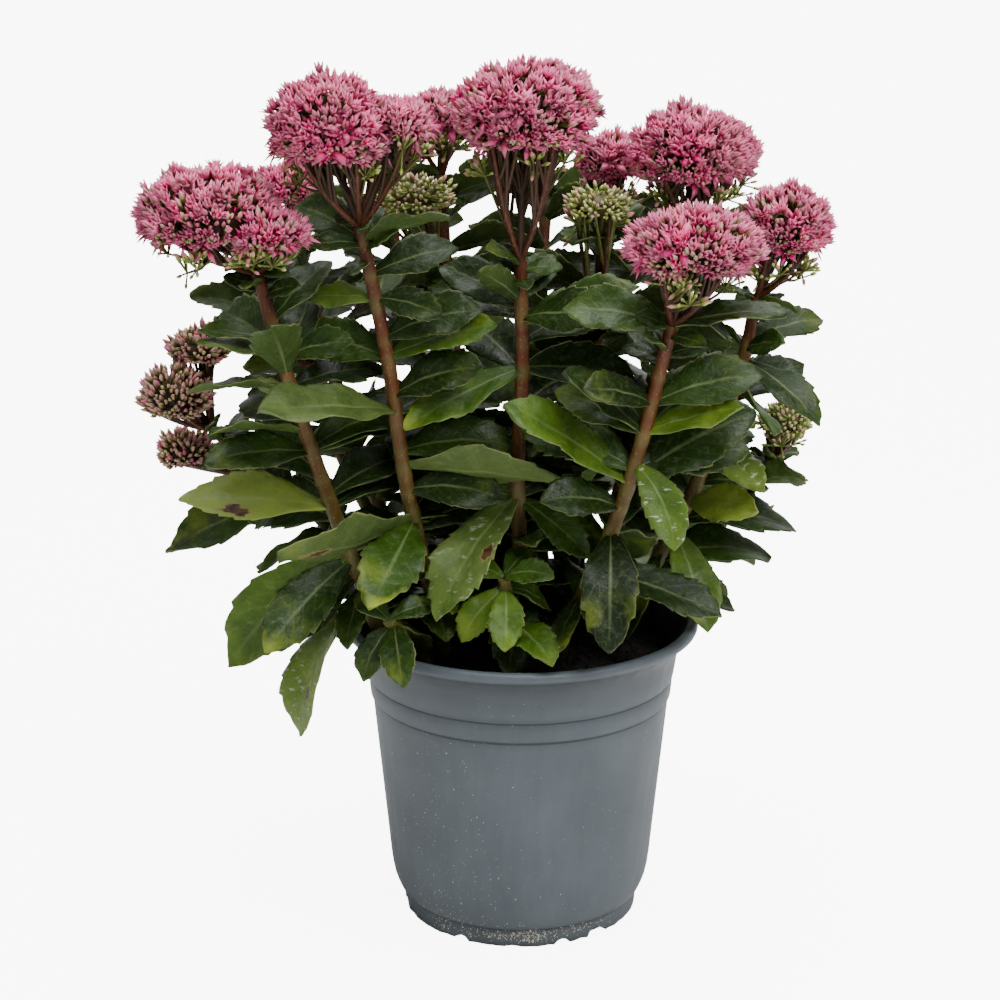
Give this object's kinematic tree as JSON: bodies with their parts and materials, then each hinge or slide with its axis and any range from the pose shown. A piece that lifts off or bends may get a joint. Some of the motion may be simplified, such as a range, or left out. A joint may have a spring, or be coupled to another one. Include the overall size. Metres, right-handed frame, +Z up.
{
  "type": "potted carl sedum",
  "caption": "Clump of fleshy-leaved stonecrop with domed pink flower heads, growing in soil in a round plastic nursery pot.",
  "frame": {"origin": "middle of the pot's flat base, on the ground", "axes": "+Z up out of the pot, -Y towards the side that the picture shows, +X to the right of it"},
  "size_m": [0.3245, 0.2568, 0.4135],
  "materials": {
    "pot": "satin",
    "soil": "matte",
    "leafy_stem": "satin",
    "pink_flower": "matte",
    "dusty_flower": "matte",
    "green_bud": "matte"
  },
  "bodies": {
    "root": {"pot": "pot", "soil": "soil", "head_a": "pink_flower", "head_b": "pink_flower", "head_c": "pink_flower", "head_d": "pink_flower", "head_e": "pink_flower", "head_f": "pink_flower", "head_g": "pink_flower", "head_h": "pink_flower", "head_i": "dusty_flower", "head_i_low": "dusty_flower", "head_k": "pink_flower", "head_l": "pink_flower", "head_m": "pink_flower", "head_n": "pink_flower", "head_o": "pink_flower", "buds_d": "green_bud", "buds_e": "green_bud", "buds_k": "dusty_flower", "buds_r": "green_bud", "stem_a": "leafy_stem", "stem_b": "leafy_stem", "stem_c": "leafy_stem", "stem_g": "leafy_stem", "stem_h": "leafy_stem", "stem_d": "leafy_stem", "stem_e": "leafy_stem", "stem_f": "leafy_stem", "stem_i": "leafy_stem", "stem_k": "leafy_stem", "stem_l": "leafy_stem", "stem_m": "leafy_stem", "stem_n": "leafy_stem", "stem_o": "leafy_stem", "stem_r": "leafy_stem", "shoot_1": "leafy_stem", "shoot_2": "leafy_stem", "shoot_3": "leafy_stem"}
  },
  "joints": []
}
